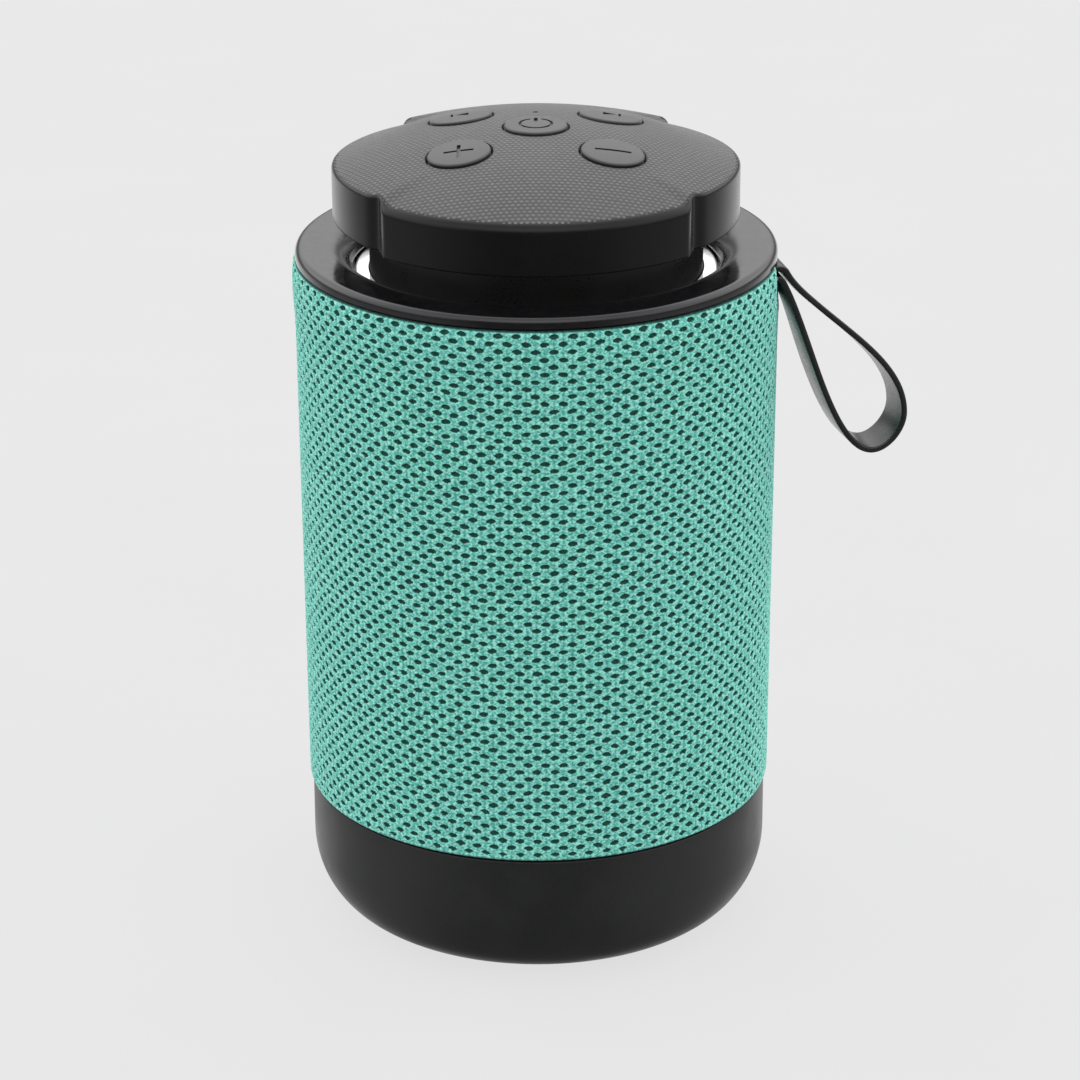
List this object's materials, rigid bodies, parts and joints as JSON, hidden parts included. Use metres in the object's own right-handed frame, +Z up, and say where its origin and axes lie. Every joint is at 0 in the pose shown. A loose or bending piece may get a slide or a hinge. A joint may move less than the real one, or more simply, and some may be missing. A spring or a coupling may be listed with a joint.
{
  "type": "portable bluetooth speaker",
  "caption": "Upright cylindrical speaker in a knitted mesh sleeve, with a raised button cap over a recessed neck, a gloss shoulder ring, a cup base and a hanging wrist strap.",
  "frame": {"origin": "centre of the rubber foot's flat underside", "axes": "+Z up along the cylinder's axis, -Y towards the front, so the strap hangs on the +X side"},
  "size_m": [0.0998, 0.078, 0.1356],
  "materials": {
    "base_black": "satin moulded",
    "foot_rubber": "matt",
    "screw_steel": "zinc plated",
    "chassis_black": "moulded",
    "cage_black": "moulded",
    "mesh_fabric": "knitted air mesh",
    "ring_gloss": "piano gloss",
    "trim_chrome": "mirror plated",
    "neck_black": "semi-gloss",
    "cap_black": "fine grain dome over satin walls",
    "button_black": "satin",
    "led_lens_clear": "clear",
    "pcb_green": "solder mask",
    "switch_metal": "stamped",
    "ribbon_grey": "flat flexible cable",
    "basket_steel": "black coated",
    "magnet_grey": "plated",
    "surround_rubber": "moulded",
    "cone_paper": "coated pulp",
    "radiator_metal": "turned",
    "cell_wrap": "shrink wrapped cell",
    "tray_black": "moulded",
    "port_metal": "stamped shell",
    "jack_black": "moulded",
    "cover_rubber": "satin",
    "wire_red": "sleeved wire",
    "wire_black": "sleeved wire",
    "strap_rubber": "smooth moulded",
    "pin_steel": "turned"
  },
  "bodies": {
    "body": {"base_cup": "base_black", "foot_pad": "foot_rubber", "chassis": "chassis_black", "grille_cage": "cage_black", "fabric_sleeve": "mesh_fabric", "top_ring": "ring_gloss", "trim_ring": "trim_chrome", "cap_neck": "neck_black", "cap_plate": "cap_black", "cap_shell": "cap_black", "led_lens": "led_lens_clear", "key_board": "pcb_green", "microphone": "switch_metal", "ribbon_cable": "ribbon_grey", "driver_basket": "basket_steel", "driver_magnet": "magnet_grey", "driver_surround": "surround_rubber", "radiator_frame": "basket_steel", "radiator_surround": "surround_rubber", "battery_cell": "cell_wrap", "battery_tray": "tray_black", "main_board": "pcb_green", "usb_port": "port_metal", "audio_jack": "jack_black", "card_slot": "port_metal", "wire_positive": "wire_red", "wire_negative": "wire_black", "strap_anchor": "strap_rubber", "anchor_pin": "pin_steel", "switch_power": "switch_metal", "switch_plus": "switch_metal", "switch_minus": "switch_metal", "switch_back_left": "switch_metal", "switch_back_right": "switch_metal", "base_screw_1": "screw_steel", "cap_screw_1": "screw_steel", "driver_screw_1": "screw_steel", "base_screw_2": "screw_steel", "cap_screw_2": "screw_steel", "driver_screw_2": "screw_steel", "base_screw_3": "screw_steel", "cap_screw_3": "screw_steel", "driver_screw_3": "screw_steel", "base_screw_4": "screw_steel", "cap_screw_4": "screw_steel", "driver_screw_4": "screw_steel"},
    "power_button": {"button_power": "button_black"},
    "plus_button": {"button_plus": "button_black"},
    "minus_button": {"button_minus": "button_black"},
    "back_left_button": {"button_back_left": "button_black"},
    "back_right_button": {"button_back_right": "button_black"},
    "strap": {"strap_loop": "strap_rubber"},
    "cover": {"port_cover": "cover_rubber"},
    "cone": {"driver_cone": "cone_paper"},
    "radiator": {"radiator_plate": "radiator_metal"}
  },
  "joints": [
    {"name": "power_button_press", "type": "slide", "parent": "body", "child": "power_button", "axis": [0, 0, -1], "range_m": [0, 0.0004], "stiffness_N_per_m": 400, "springref_m": -0.0006},
    {"name": "plus_button_press", "type": "slide", "parent": "body", "child": "plus_button", "axis": [0.1309, 0.1136, -0.9849], "range_m": [0, 0.0004], "stiffness_N_per_m": 400, "springref_m": -0.0006},
    {"name": "minus_button_press", "type": "slide", "parent": "body", "child": "minus_button", "axis": [-0.1309, 0.1136, -0.9849], "range_m": [0, 0.0004], "stiffness_N_per_m": 400, "springref_m": -0.0006},
    {"name": "back_left_button_press", "type": "slide", "parent": "body", "child": "back_left_button", "axis": [0.1311, -0.0997, -0.9864], "range_m": [0, 0.0004], "stiffness_N_per_m": 400, "springref_m": -0.0006},
    {"name": "back_right_button_press", "type": "slide", "parent": "body", "child": "back_right_button", "axis": [-0.1311, -0.0997, -0.9864], "range_m": [0, 0.0004], "stiffness_N_per_m": 400, "springref_m": -0.0006},
    {"name": "strap_swing", "type": "hinge", "parent": "body", "child": "strap", "pos_m": [0.03981, -0.00261, 0.1113], "axis": [-0.225, 0.9744, 0], "range_deg": [-60, 4], "stiffness_Nm_per_rad": 0.008, "springref_deg": -0.66},
    {"name": "cover_open", "type": "hinge", "parent": "body", "child": "cover", "pos_m": [-0.0152, 0.0348, 0.0175], "axis": [0, 0, 1], "range_deg": [0, 95]},
    {"name": "cone_travel", "type": "slide", "parent": "body", "child": "cone", "axis": [0, -1, 0], "range_m": [-0.0005, 0.0005], "stiffness_N_per_m": 1000},
    {"name": "radiator_travel", "type": "slide", "parent": "body", "child": "radiator", "axis": [0, 1, 0], "range_m": [-0.0008, 0.0008], "stiffness_N_per_m": 600}
  ]
}
